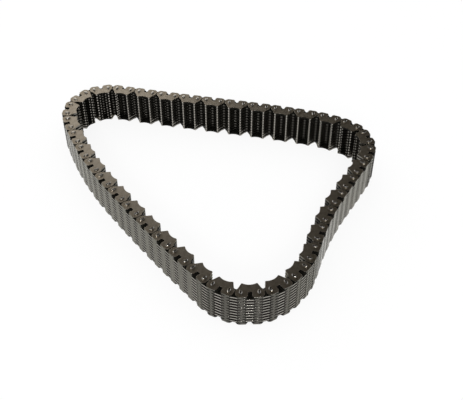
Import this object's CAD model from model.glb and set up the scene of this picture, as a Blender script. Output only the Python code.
from math import cos, pi, radians, sin

import bpy
import numpy as np
from bpy.props import (
    FloatProperty,
    FloatVectorProperty,
    IntProperty,
    PointerProperty,
)
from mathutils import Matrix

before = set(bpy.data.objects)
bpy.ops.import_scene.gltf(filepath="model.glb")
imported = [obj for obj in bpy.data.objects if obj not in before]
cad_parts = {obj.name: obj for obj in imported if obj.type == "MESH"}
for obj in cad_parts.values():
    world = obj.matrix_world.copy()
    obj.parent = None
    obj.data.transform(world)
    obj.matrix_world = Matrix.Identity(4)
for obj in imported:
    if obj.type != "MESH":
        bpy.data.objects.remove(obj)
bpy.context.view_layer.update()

bl_info = {
    "name": "Silent chain",
    "version": (1, 0, 0),
    "blender": (4, 5, 0),
    "location": "3D View > Sidebar > Silent chain",
    "description": "Dresses an inverted-tooth chain in oiled steel and sets its studio",
    "category": "Object",
}

MM = 0.001
GUIDE_SLOT = "guide_link_steel"
INNER_SLOT = "inner_link_steel"

# The lay of the loop, clockwise from the far left: links in a run, turn in degrees
RUNS = np.array([
    [10, -2], [7, 4], [3, 16], [5, 88], [4, 3], [7, -15],
    [4, 35], [6, 87], [12, 5], [9, 16], [4, 67], [3, 56],
])
FIRST_HEADING = -13.0
# Rounds of Newton's method that close the loop, and the nudge for its slopes in degrees
CLOSING_ROUNDS = 5
CLOSING_NUDGE = 0.01

# Borders of a row's zones, each from where the zone is empty to where it is full.
# Upright share of the surface's normal:
FACE_TILT = (0.55, 0.85)
RIM_TILT = (0.97, 0.85)
# Millimetres over the outer face of a guide plate:
INSIDE_HEIGHT = (-0.1, -0.3)
PIN_HEIGHT = (0.02, 0.06)
# Millimetres towards the teeth from their tips, from the gap's bottom and from the back:
TIP_BORDER = (-0.12, -0.03)
DIP_BORDER = (0.45, 0.15)
BACK_BORDER = (0.30, 0.18)
# Millimetres from the line of the joint axes towards the teeth:
FLANK_START = (1.6, 2.4)
DIP_START = (0.5, 1.0)
# Millimetres out from a plate's middle, and out past its joint axes:
DIP_REACH = (1.0, 0.5)
BAR_REACH = (2.6, 1.8)
FLANK_PAST_AXIS = (-0.1, 0.1)
# Millimetres outside a pin seat, and inside the nearer face of a plate:
RING_PAST_SEAT = (0.75, 0.1)
CROWN_DEPTH = (0.0, 0.3)
# Share of a layer's height:
BAR_SEAM = (0.50, 0.36)
EDGE_SEAM = (0.30, 0.08)
ZONES = (
    "Face", "Inside", "Pin", "Rim", "Inner", "Tip", "Flank",
    "Dip", "Back", "Bar", "Seam", "Ring", "Crown",
)

# Shares of the dark oil and of the bright wear in each zone
EDGE_SEAM_OIL = 0.6
RING_OIL = 0.55
INNER_OIL = 0.12
GUIDE_TIP_WEAR = 0.65
INNER_TIP_WEAR = 0.2
DIP_WEAR = 0.14
FLANK_WEAR = 0.4
BAR_WEAR = 0.75
EDGE_WEAR = 0.5
PIN_POLISH = 0.3

# Marks of the tumbler: noise per millimetre, and the values between which a mark grows
STAIN_NOISE = {"scale": 0.22, "detail": 4.0, "rough": 0.62}
STAIN_BORDER = (0.40, 0.66)
GRAIN_NOISE = {"scale": 5.0, "detail": 2.0, "rough": 0.6}
SCUFF_NOISE = {"scale": 0.9, "detail": 3.0, "rough": 0.7}
SCUFF_LEVEL = 0.5
SCUFF_BORDER = (0.012, 0.002)
# Spread of the roughness by the grain, and its change in a scuff
GRAIN_ROUGH = 0.16
SCUFF_ROUGH = -0.10
# Agreement of the rounded normal with the flat one at which wear begins and is full
EDGE_LEAN = (0.985, 0.80)
EDGE_SAMPLES = 4
# Relief of a plate's edge: strength, depth in millimetres, share of the grain in it
RELIEF_STRENGTH = 0.3
RELIEF_DEPTH = 0.12
GRAIN_RISE = 0.08
# Gloss of the dark, matt surfaces, and roughness of the oil film
MATT_GLOSS = 0.05
OIL_ROUGH = 0.15

# Floor: half its width in metres, and its roughness
FLOOR_REACH = 4.0
FLOOR_ROUGH = 0.9
# Upright share of a direction at which the horizon ends and the overhead is full
SKY_BORDER = (0.05, 0.45)
# Soft panels: metres wide and high, bearing right of +Y and rise in degrees, metres away
FAR_LEFT_PANEL = {"size": (1.6, 0.75), "bearing": -33, "rise": 27, "distance": 1.6}
FRONT_PANEL = {"size": (0.34, 0.3), "bearing": 182, "rise": 30, "distance": 1.6}
SENSOR_WIDTH = 36.0
CLIP_NEAR, CLIP_FAR = 0.01, 20.0


# ------------------------------------------------------------------ properties

def colour(name, description, default):
    return FloatVectorProperty(
        name=name, description=description, default=default,
        subtype="COLOR", size=3, min=0.0, max=1.0,
    )


def length(name, description, millimetres):
    return FloatProperty(
        name=name, description=description, default=millimetres * MM,
        subtype="DISTANCE", unit="LENGTH", min=0.0, precision=5,
    )


def share(name, description, default):
    return FloatProperty(
        name=name, description=description, default=default,
        subtype="FACTOR", min=0.0, max=1.0,
    )


def power(name, description, watts):
    return FloatProperty(
        name=name, description=description, default=watts,
        min=0.0, unit="POWER",
    )


class ChainSizes(bpy.types.PropertyGroup):
    """Sizes of the chain that the wear of its plates follows."""

    pitch: length("Pitch", "Distance between joint axes", 9.525)
    plate_thickness: length("Plate thickness", "Thickness of every plate", 1.25)
    plate_gap: length("Plate gap", "Gap between neighbouring plates", 0.05)
    pin_proud: length("Pin height", "Height of the pin ends over the guide plates", 0.9)
    tooth_depth: length("Tooth depth", "From the joint axes to the tooth tips", 7.4)
    gap_bottom: length("Gap bottom", "From the joint axes to the bottom of the tooth gap", 2.85)
    back_level: length("Back level", "From the joint axes to the straight back", 4.15)
    seat_radius: length("Seat radius", "Radius of the pin seats", 2.15)
    edge_round: length("Edge round", "Radius of the tumbled edges", 0.24)
    layers: IntProperty(name="Layers", description="Plates in a stack", default=21)


class SteelColours(bpy.types.PropertyGroup):
    """Colours and finish of the oiled steel."""

    face: colour("Face", "Tumbled face of a guide plate", (0.43, 0.375, 0.305))
    stain: colour("Stain", "Oil dried on a face", (0.32, 0.27, 0.205))
    back: colour("Back", "Rubbed back of a plate", (0.088, 0.083, 0.069))
    seam: colour("Seam", "Lower part of a blanked edge, dark with oil", (0.022, 0.020, 0.016))
    pocket: colour("Pocket", "Oily surfaces that nothing rubs", (0.009, 0.0085, 0.007))
    worn: colour("Worn", "Bright steel of worn tips and edges", (0.52, 0.49, 0.44))
    pin: colour("Pin", "Polished rim of a pin end", (0.74, 0.73, 0.71))
    graze: colour("Graze", "Tint of steel that is seen at a low angle", (0.66, 0.64, 0.54))
    face_rough: share("Face roughness", "Roughness of a plate's face", 0.38)
    edge_rough: share("Edge roughness", "Roughness of a blanked edge", 0.2)
    pin_rough: share("Pin roughness", "Roughness of a pin end", 0.22)
    oil_film: share("Oil film", "Share of the rubbed steel under a film of oil", 0.7)


class StudioLooks(bpy.types.PropertyGroup):
    """Floor, surroundings, lamps and camera."""

    floor: colour("Floor", "Pale floor", (0.97, 0.97, 0.97))
    floor_glow: share("Floor glow", "Share of the floor that shows as plain white", 0.88)
    horizon: colour("Horizon", "Surroundings level with the chain", (1.0, 1.0, 1.0))
    overhead: colour("Overhead", "Surroundings above the chain", (0.035, 0.033, 0.03))
    soft_level: share("Soft level", "Even light on matt surfaces", 0.88)
    panel_power: power("Panel power", "Power of the soft panel at the far left", 4.9)
    fill_power: power("Fill power", "Power of the soft panel in front", 7.5)
    camera_lens: FloatProperty(
        name="Lens", description="Focal length in millimetres", default=61.1,
        subtype="DISTANCE_CAMERA", min=10.0,
    )
    camera_rise: FloatProperty(
        name="Rise", description="Angle at which the camera looks down",
        default=radians(43.23), subtype="ANGLE", unit="ROTATION",
    )
    camera_distance: length("Distance", "From the camera to what it looks at", 553.6)
    camera_target: FloatVectorProperty(
        name="Target", description="Point that the camera looks at",
        default=(0.01287, -0.02583, 0.02815), subtype="XYZ", unit="LENGTH",
    )


# ------------------------------------------------------------- lay of the loop

def link_frames(pitch):
    """Middle (m) and turn about Z (rad) of every link, teeth towards the frame's +Y.

    A link's heading is the first heading less the turn of the runs up to its
    middle, plus a cosine and a sine wave once round the loop. The two waves'
    heights are solved by Newton's method so that all links add up to zero.
    """
    count = int(RUNS[:, 0].sum())
    middle = np.arange(count) + 0.5
    ends = np.vstack([[0, 0], np.cumsum(RUNS, axis=0)])
    plain = FIRST_HEADING - np.interp(middle, ends[:, 0], ends[:, 1])
    round_loop = 2 * pi * middle / count
    waves = np.stack([np.cos(round_loop), np.sin(round_loop)])

    def steps(heights):
        heading = np.radians(plain + heights @ waves)
        return np.stack([np.cos(heading), np.sin(heading)], axis=1), heading

    def total(heights):
        return steps(heights)[0].sum(axis=0)

    heights = np.zeros(2)
    for _ in range(CLOSING_ROUNDS):
        miss = total(heights)
        slope = [total(heights + CLOSING_NUDGE * axis) - miss for axis in np.eye(2)]
        heights = heights - np.linalg.solve(np.array(slope).T / CLOSING_NUDGE, miss)
    along, heading = steps(heights)
    joints = pitch * np.vstack([[0, 0], np.cumsum(along, axis=0)[:-1]])
    joints -= (joints.min(axis=0) + joints.max(axis=0)) / 2
    return joints + pitch * along / 2, heading + pi


def links_of(node_name):
    """Numbers of the links that a node holds: a guide row is even, an inner row odd."""
    kind, row = node_name.rsplit("_", 1)
    guide = 2 * int(row) - 2
    inner = guide + 1
    held = {"guide_link": [guide], "inner_link": [inner], "link_pair": [guide, inner]}
    return held[kind]


# ------------------------------------------------------------------ node tools

# Numbers of the Mix node's sockets for each kind of value: two inputs and the output
MIX_SOCKETS = {"FLOAT": (2, 3, 0), "VECTOR": (4, 5, 1), "RGBA": (6, 7, 2)}


class Nodes:
    """Places nodes in one tree and joins them."""

    def __init__(self, tree):
        self.tree = tree

    def add(self, kind, **settings):
        made = self.tree.nodes.new(kind)
        for key, value in settings.items():
            setattr(made, key, value)
        return made

    def feed(self, socket, value):
        if isinstance(value, bpy.types.NodeSocket):
            self.tree.links.new(value, socket)
        else:
            socket.default_value = value

    def math(self, operation, *values, clamp=False):
        made = self.add("ShaderNodeMath", operation=operation, use_clamp=clamp)
        for socket, value in zip(made.inputs, values):
            self.feed(socket, value)
        return made.outputs[0]

    def size(self, value):
        return self.math("ABSOLUTE", value)

    def less(self, first, second):
        return self.math("SUBTRACT", first, second)

    def times(self, first, *others):
        for value in others:
            first = self.math("MULTIPLY", first, value)
        return first

    def most(self, first, *others):
        for value in others:
            first = self.math("MAXIMUM", first, value)
        return first

    def ramp(self, value, low, high):
        """0 below low and 1 above high, smooth between; high below low turns it round."""
        made = self.add("ShaderNodeMapRange", interpolation_type="SMOOTHSTEP")
        for name, item in (("Value", value), ("From Min", low), ("From Max", high)):
            self.feed(made.inputs[name], item)
        return made.outputs["Result"]

    def border(self, value, place, ends):
        """A ramp whose two ends are measured from a place."""
        return self.ramp(value, place + ends[0], place + ends[1])

    def blend(self, kind, factor, first, second):
        made = self.add("ShaderNodeMix", data_type=kind)
        first_in, second_in, result = MIX_SOCKETS[kind]
        self.feed(made.inputs["Factor"], factor)
        self.feed(made.inputs[first_in], first)
        self.feed(made.inputs[second_in], second)
        return made.outputs[result]

    def mix(self, factor, *colours):
        """Blends two colours, each a socket or three plain numbers."""
        whole = [
            value if isinstance(value, bpy.types.NodeSocket) else (*value, 1.0)
            for value in colours
        ]
        return self.blend("RGBA", factor, *whole)

    def noise(self, vector, scale, detail, rough):
        made = self.add("ShaderNodeTexNoise")
        self.feed(made.inputs["Vector"], vector)
        for name, value in (("Scale", scale), ("Detail", detail), ("Roughness", rough)):
            made.inputs[name].default_value = value
        return made.outputs["Fac"]

    def split(self, vector):
        made = self.add("ShaderNodeSeparateXYZ")
        self.feed(made.inputs[0], vector)
        return made.outputs[:3]


def new_group(name, inputs, outputs):
    """An empty shader group with its sockets: (name, kind) pairs."""
    tree = bpy.data.node_groups.new(name, "ShaderNodeTree")
    for side, sockets in (("INPUT", inputs), ("OUTPUT", outputs)):
        for label, kind in sockets:
            tree.interface.new_socket(label, in_out=side, socket_type="NodeSocket" + kind)
    nodes = Nodes(tree)
    return tree, nodes, nodes.add("NodeGroupInput").outputs, nodes.add("NodeGroupOutput").inputs


def place_group(nodes, tree, **values):
    made = nodes.add("ShaderNodeGroup")
    made.node_tree = tree
    for label, value in values.items():
        nodes.feed(made.inputs[label], value)
    return made.outputs


# --------------------------------------------------------------- shader groups

def plate_zones(sizes):
    """Masks of a row's zones from its own frame in millimetres.

    Face is where the surface lies flat, and Inside a face between two plates.
    Pin is what stands over the guide plates, and Rim its chamfer. Inner marks
    the layers of the inner rows. Tip is the end of a tooth, Flank its outer side
    and Dip the bottom of the tooth gap. Back is the straight back of a plate, and
    Bar its middle part, which shows between two dark slots. Seam is the oily lower
    part of an edge, and Ring the face round a pin hole. Crown rises from 0 at a
    plate's two faces to 1, as its tumbled edges do.
    """
    found = bpy.data.node_groups.get("Plate zones")
    if found:
        return found
    tree, nodes, source, result = new_group(
        "Plate zones", [("Place", "Vector")], [(label, "Float") for label in ZONES])
    mm = {key: getattr(sizes, key) / MM for key in (
        "pitch", "plate_thickness", "plate_gap", "pin_proud",
        "tooth_depth", "gap_bottom", "back_level", "seat_radius")}
    layer = mm["plate_thickness"] + mm["plate_gap"]
    top = 2 * mm["pin_proud"] + sizes.layers * layer - mm["plate_gap"]
    outer_face = top / 2 - mm["pin_proud"]
    axis = mm["pitch"] / 2

    x, y, z = nodes.split(source["Place"])
    across = nodes.size(x)
    from_middle = nodes.size(nodes.less(z, top / 2))
    over_first = nodes.less(z, mm["pin_proud"])
    in_layer = nodes.math("MODULO", over_first, layer)
    layer_number = nodes.math("FLOOR", nodes.math("DIVIDE", over_first, layer))
    inner = nodes.math("MODULO", layer_number, 2.0)
    normal = nodes.add("ShaderNodeNewGeometry").outputs["Normal"]
    tilt = nodes.size(nodes.split(normal)[2])
    face = nodes.ramp(tilt, *FACE_TILT)
    edge = nodes.less(1.0, face)
    pin = nodes.border(from_middle, outer_face, PIN_HEIGHT)

    tip = nodes.border(y, mm["tooth_depth"], TIP_BORDER)
    tip_wear = nodes.math(
        "MULTIPLY_ADD", inner, INNER_TIP_WEAR - GUIDE_TIP_WEAR, GUIDE_TIP_WEAR)
    flank = nodes.times(
        nodes.border(across, axis, FLANK_PAST_AXIS), nodes.ramp(y, *FLANK_START))
    dip = nodes.times(
        nodes.border(y, mm["gap_bottom"], DIP_BORDER),
        nodes.ramp(y, *DIP_START), nodes.ramp(across, *DIP_REACH))
    bar = nodes.times(edge, nodes.ramp(across, *BAR_REACH))
    bar_seam, edge_seam = (
        nodes.ramp(in_layer, start * layer, end * layer)
        for start, end in (BAR_SEAM, EDGE_SEAM))
    beside = nodes.less(across, axis)
    from_axis = nodes.math(
        "SQRT", nodes.math("MULTIPLY_ADD", beside, beside, nodes.times(y, y)))
    to_face = nodes.math("MINIMUM", in_layer, nodes.less(mm["plate_thickness"], in_layer))

    masks = {
        "Face": face,
        "Inside": nodes.times(face, nodes.border(from_middle, outer_face, INSIDE_HEIGHT)),
        "Pin": pin,
        "Rim": nodes.times(pin, nodes.ramp(tilt, *RIM_TILT)),
        "Inner": inner,
        "Tip": nodes.times(edge, tip, tip_wear),
        "Flank": nodes.times(edge, flank),
        "Dip": nodes.times(edge, dip),
        "Back": nodes.times(edge, nodes.border(y, -mm["back_level"], BACK_BORDER)),
        "Bar": bar,
        "Seam": nodes.most(
            nodes.times(bar, bar_seam), nodes.times(edge, edge_seam, EDGE_SEAM_OIL)),
        "Ring": nodes.times(
            nodes.border(from_axis, mm["seat_radius"], RING_PAST_SEAT), face),
        "Crown": nodes.ramp(to_face, *CROWN_DEPTH),
    }
    for label in ZONES:
        nodes.feed(result[label], masks[label])
    return tree


def tumbled_steel():
    """Stain, Grain and Scuff of tumbled, oiled steel on coordinates in millimetres.

    Stain is soft patches of dried oil, Grain the fine peening of the tumbler,
    Scuff thin bright scratches in all directions.
    """
    found = bpy.data.node_groups.get("Tumbled steel")
    if found:
        return found
    outputs = [(label, "Float") for label in ("Stain", "Grain", "Scuff")]
    tree, nodes, source, result = new_group("Tumbled steel", [("Place", "Vector")], outputs)
    place = source["Place"]
    stain = nodes.ramp(nodes.noise(place, **STAIN_NOISE), *STAIN_BORDER)
    ridge = nodes.size(nodes.less(nodes.noise(place, **SCUFF_NOISE), SCUFF_LEVEL))
    nodes.feed(result["Stain"], stain)
    nodes.feed(result["Grain"], nodes.noise(place, **GRAIN_NOISE))
    nodes.feed(result["Scuff"], nodes.ramp(ridge, *SCUFF_BORDER))
    return tree


def worn_edge(sizes):
    """Round is the normal of the tumbled edges, Edge a mask along them.

    A bevelled normal leans away from the flat normal near an edge; the mask
    grows with that lean.
    """
    found = bpy.data.node_groups.get("Worn edge")
    if found:
        return found
    tree, nodes, _, result = new_group(
        "Worn edge", [], [("Edge", "Float"), ("Round", "Vector")])
    bevel = nodes.add("ShaderNodeBevel", samples=EDGE_SAMPLES)
    bevel.inputs["Radius"].default_value = sizes.edge_round
    flat = nodes.add("ShaderNodeNewGeometry").outputs["Normal"]
    lean = nodes.add("ShaderNodeVectorMath", operation="DOT_PRODUCT")
    nodes.feed(lean.inputs[0], bevel.outputs[0])
    nodes.feed(lean.inputs[1], flat)
    nodes.feed(result["Edge"], nodes.ramp(lean.outputs["Value"], *EDGE_LEAN))
    nodes.feed(result["Round"], bevel.outputs[0])
    return tree


# ------------------------------------------------------------------- materials

def row_place(nodes, middle, turn):
    """Coordinates in a link's own frame, in millimetres."""
    mapping = nodes.add("ShaderNodeMapping", vector_type="TEXTURE")
    nodes.feed(mapping.inputs["Vector"], nodes.add("ShaderNodeTexCoord").outputs["Object"])
    mapping.inputs["Location"].default_value = (*middle, 0.0)
    mapping.inputs["Rotation"].default_value = (0.0, 0.0, turn)
    mapping.inputs["Scale"].default_value = (MM, MM, MM)
    return mapping.outputs[0]


def node_place(nodes, frames, sizes):
    """Coordinates of each layer in the frame of the link that it belongs to.

    In a node of two links, the even layers hold the first link's plates and the
    odd layers the second link's.
    """
    place = row_place(nodes, *frames[0])
    if len(frames) == 1:
        return place
    layer = (sizes.plate_thickness + sizes.plate_gap) / MM
    height = nodes.less(nodes.split(place)[2], sizes.pin_proud / MM)
    layer_number = nodes.math("FLOOR", nodes.math("DIVIDE", height, layer))
    odd = nodes.size(nodes.math("MODULO", layer_number, 2.0))
    return nodes.blend("VECTOR", odd, place, row_place(nodes, *frames[1]))


def steel_colour(nodes, zone, mark, edge, steel):
    """Stained faces, dark pockets and seams, bright steel where plates rub."""
    dried = nodes.most(mark["Stain"], nodes.times(zone["Ring"], RING_OIL))
    face = nodes.mix(dried, steel.face, steel.stain)
    face = nodes.mix(zone["Inside"], face, steel.pocket)
    back = nodes.mix(nodes.times(zone["Bar"], BAR_WEAR), steel.back, steel.worn)
    back = nodes.mix(nodes.times(zone["Inner"], INNER_OIL), back, steel.seam)
    back = nodes.mix(zone["Seam"], back, steel.seam)
    blanked = nodes.mix(zone["Back"], steel.pocket, back)
    blanked = nodes.mix(nodes.times(zone["Flank"], FLANK_WEAR), blanked, steel.worn)
    tooth = nodes.most(zone["Tip"], nodes.times(zone["Dip"], DIP_WEAR))
    blanked = nodes.mix(tooth, blanked, steel.worn)
    surface = nodes.mix(zone["Face"], blanked, face)
    pin = nodes.mix(nodes.most(zone["Rim"], PIN_POLISH), face, steel.pin)
    surface = nodes.mix(zone["Pin"], surface, pin)
    outer = nodes.most(zone["Back"], nodes.less(zone["Face"], zone["Inside"]))
    worn = nodes.times(edge["Edge"], outer, EDGE_WEAR)
    return nodes.mix(worn, surface, steel.worn)


def steel_roughness(nodes, zone, mark, steel):
    """Roughness of edges, faces and pins, varied by the grain and the scuffs."""
    rough = nodes.blend("FLOAT", zone["Face"], steel.edge_rough, steel.face_rough)
    rough = nodes.blend("FLOAT", zone["Pin"], rough, steel.pin_rough)
    speckle = nodes.math("MULTIPLY_ADD", mark["Grain"], GRAIN_ROUGH, -GRAIN_ROUGH / 2)
    scuffed = nodes.times(mark["Scuff"], SCUFF_ROUGH)
    return nodes.math("ADD", rough, nodes.math("ADD", speckle, scuffed), clamp=True)


def steel_relief(nodes, zone, mark, edge):
    """Normal of the crowned, peened plates with their tumbled edges."""
    bump = nodes.add("ShaderNodeBump")
    bump.inputs["Strength"].default_value = RELIEF_STRENGTH
    bump.inputs["Distance"].default_value = RELIEF_DEPTH * MM
    rise = nodes.math("MULTIPLY_ADD", mark["Grain"], GRAIN_RISE, zone["Crown"])
    nodes.feed(bump.inputs["Height"], rise)
    nodes.feed(bump.inputs["Normal"], edge["Round"])
    return bump.outputs[0]


def oiled_steel(name, frames, sizes, steel):
    """Steel of one node, worn by the frames of its one or two links."""
    material = bpy.data.materials.new(name)
    material.use_nodes = True
    nodes = Nodes(material.node_tree)
    shader = material.node_tree.nodes["Principled BSDF"]
    place = node_place(nodes, frames, sizes)
    zone = place_group(nodes, plate_zones(sizes), Place=place)
    mark = place_group(nodes, tumbled_steel(), Place=place)
    edge = place_group(nodes, worn_edge(sizes))

    wet = nodes.times(zone["Back"], nodes.less(1.0, zone["Seam"]))
    clean = nodes.most(
        wet, zone["Tip"], zone["Flank"], zone["Dip"],
        nodes.less(zone["Face"], zone["Inside"]), zone["Pin"])
    feeds = {
        "Base Color": steel_colour(nodes, zone, mark, edge, steel),
        "Roughness": steel_roughness(nodes, zone, mark, steel),
        "Metallic": clean,
        "Coat Weight": nodes.times(wet, steel.oil_film),
        "Normal": steel_relief(nodes, zone, mark, edge),
        "Specular IOR Level": MATT_GLOSS,
        "Specular Tint": (*steel.graze, 1.0),
        "Coat Roughness": OIL_ROUGH,
    }
    for label, value in feeds.items():
        nodes.feed(shader.inputs[label], value)
    return material


def dress(context, kind, slot):
    """Gives every node of a kind its own oiled steel."""
    sizes, steel = context.scene.chain_sizes, context.scene.chain_steel
    middles, turns = link_frames(sizes.pitch)
    chosen = sorted(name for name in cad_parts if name.startswith(kind))
    if not chosen:
        raise RuntimeError(f"the packed model has no node of the kind {kind}")
    for name in chosen:
        frames = [(middles[k], turns[k]) for k in links_of(name)]
        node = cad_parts[name]
        node.data.materials.clear()
        node.data.materials.append(oiled_steel(f"{slot}_{name}", frames, sizes, steel))


class DressGuideLinks(bpy.types.Operator):
    """Oiled steel on the guide rows that turn by themselves."""

    bl_idname = "chain.dress_guide_links"
    bl_label = "Dress guide links"

    def execute(self, context):
        dress(context, "guide_link", GUIDE_SLOT)
        return {"FINISHED"}


class DressInnerLinks(bpy.types.Operator):
    """Oiled steel on the inner rows that turn by themselves."""

    bl_idname = "chain.dress_inner_links"
    bl_label = "Dress inner links"

    def execute(self, context):
        dress(context, "inner_link", INNER_SLOT)
        return {"FINISHED"}


class DressLinkPairs(bpy.types.Operator):
    """Oiled steel on the rows that turn in pairs on the straight runs."""

    bl_idname = "chain.dress_link_pairs"
    bl_label = "Dress link pairs"

    def execute(self, context):
        dress(context, "link_pair", GUIDE_SLOT)
        return {"FINISHED"}


# ----------------------------------------------------------------------- stage

def pale_floor(looks):
    """A wide floor whose colour shows as white, with a trace of the shadow kept."""
    mesh = bpy.data.meshes.new("floor")
    corners = FLOOR_REACH * np.array([[-1, -1, 0], [1, -1, 0], [1, 1, 0], [-1, 1, 0]])
    mesh.from_pydata(corners.tolist(), [], [(0, 1, 2, 3)])
    floor = bpy.data.objects.new("floor", mesh)
    bpy.context.scene.collection.objects.link(floor)
    material = bpy.data.materials.new("pale_floor")
    material.use_nodes = True
    nodes = Nodes(material.node_tree)
    shader = material.node_tree.nodes["Principled BSDF"]
    shader.inputs["Base Color"].default_value = (*looks.floor, 1.0)
    shader.inputs["Roughness"].default_value = FLOOR_ROUGH
    shader.inputs["Specular IOR Level"].default_value = 0.0
    plain = nodes.add("ShaderNodeEmission")
    plain.inputs["Color"].default_value = (1.0, 1.0, 1.0, 1.0)
    path = nodes.add("ShaderNodeLightPath").outputs
    seen = nodes.most(
        path["Is Camera Ray"], path["Is Glossy Ray"], path["Is Transmission Ray"])
    mixed = nodes.add("ShaderNodeMixShader")
    nodes.feed(mixed.inputs[0], nodes.times(seen, looks.floor_glow))
    nodes.feed(mixed.inputs[1], shader.outputs[0])
    nodes.feed(mixed.inputs[2], plain.outputs[0])
    nodes.feed(material.node_tree.nodes["Material Output"].inputs["Surface"], mixed.outputs[0])
    mesh.materials.append(material)


def surroundings(looks):
    """A world that is white at the horizon and dim overhead, and even for matt surfaces."""
    world = bpy.data.worlds.new("studio")
    bpy.context.scene.world = world
    world.use_nodes = True
    nodes = Nodes(world.node_tree)
    direction = nodes.add("ShaderNodeTexCoord").outputs["Generated"]
    up = nodes.ramp(nodes.size(nodes.split(direction)[2]), *SKY_BORDER)
    matt = nodes.add("ShaderNodeLightPath").outputs["Is Diffuse Ray"]
    seen = nodes.mix(up, looks.horizon, looks.overhead)
    background = world.node_tree.nodes["Background"]
    nodes.feed(background.inputs["Color"], nodes.mix(matt, seen, [looks.soft_level] * 3))
    background.inputs["Strength"].default_value = 1.0


def soft_panel(name, watts, size, bearing, rise, distance):
    """An area lamp that looks at the chain from a bearing and a rise in degrees."""
    lamp = bpy.data.lights.new(name, "AREA")
    lamp.shape, (lamp.size, lamp.size_y) = "RECTANGLE", size
    lamp.energy = watts
    panel = bpy.data.objects.new(name, lamp)
    flat, tall = radians(bearing), radians(rise)
    towards = np.array([sin(flat) * cos(tall), cos(flat) * cos(tall), sin(tall)])
    panel.location = distance * towards
    panel.rotation_euler = (pi / 2 - tall, 0.0, pi - flat)
    bpy.context.scene.collection.objects.link(panel)


def viewing_camera(looks):
    """A camera that looks along +Y and down at its target."""
    lens = bpy.data.cameras.new("camera")
    lens.sensor_fit, lens.sensor_width = "HORIZONTAL", SENSOR_WIDTH
    lens.lens = looks.camera_lens
    lens.clip_start, lens.clip_end = CLIP_NEAR, CLIP_FAR
    camera = bpy.data.objects.new("camera", lens)
    rise = looks.camera_rise
    back = looks.camera_distance * np.array([0.0, -cos(rise), sin(rise)])
    camera.location = np.array(looks.camera_target) + back
    camera.rotation_euler = (pi / 2 - rise, 0.0, 0.0)
    bpy.context.scene.collection.objects.link(camera)
    bpy.context.scene.camera = camera


class SetStudio(bpy.types.Operator):
    """Pale floor, soft light and the camera at the viewing angle."""

    bl_idname = "chain.set_studio"
    bl_label = "Set studio"

    def execute(self, context):
        looks = context.scene.chain_studio
        context.scene.view_settings.view_transform = "Standard"
        pale_floor(looks)
        surroundings(looks)
        soft_panel("far_left_panel", looks.panel_power, **FAR_LEFT_PANEL)
        soft_panel("front_panel", looks.fill_power, **FRONT_PANEL)
        viewing_camera(looks)
        return {"FINISHED"}


# -------------------------------------------------------------- panel and main

OPERATORS = (DressGuideLinks, DressInnerLinks, DressLinkPairs, SetStudio)


class ChainPanel(bpy.types.Panel):
    """Lists the chain's steps and values in the sidebar."""

    bl_idname = "CHAIN_PT_steps"
    bl_label = "Silent chain"
    bl_space_type = "VIEW_3D"
    bl_region_type = "UI"
    bl_category = "Silent chain"

    def draw(self, context):
        scene = context.scene
        for operator in OPERATORS:
            self.layout.operator(operator.bl_idname)
        for group in (scene.chain_sizes, scene.chain_steel, scene.chain_studio):
            for key in group.bl_rna.properties.keys():
                if key not in {"rna_type", "name"}:
                    self.layout.prop(group, key)


CLASSES = (ChainSizes, SteelColours, StudioLooks, *OPERATORS, ChainPanel)


def register():
    for item in CLASSES:
        bpy.utils.register_class(item)
    bpy.types.Scene.chain_sizes = PointerProperty(type=ChainSizes)
    bpy.types.Scene.chain_steel = PointerProperty(type=SteelColours)
    bpy.types.Scene.chain_studio = PointerProperty(type=StudioLooks)


def unregister():
    del bpy.types.Scene.chain_studio, bpy.types.Scene.chain_steel, bpy.types.Scene.chain_sizes
    for item in reversed(CLASSES):
        bpy.utils.unregister_class(item)


def main():
    register()
    bpy.ops.chain.dress_guide_links()
    bpy.ops.chain.dress_inner_links()
    bpy.ops.chain.dress_link_pairs()
    bpy.ops.chain.set_studio()


if __name__ == "__main__":
    main()
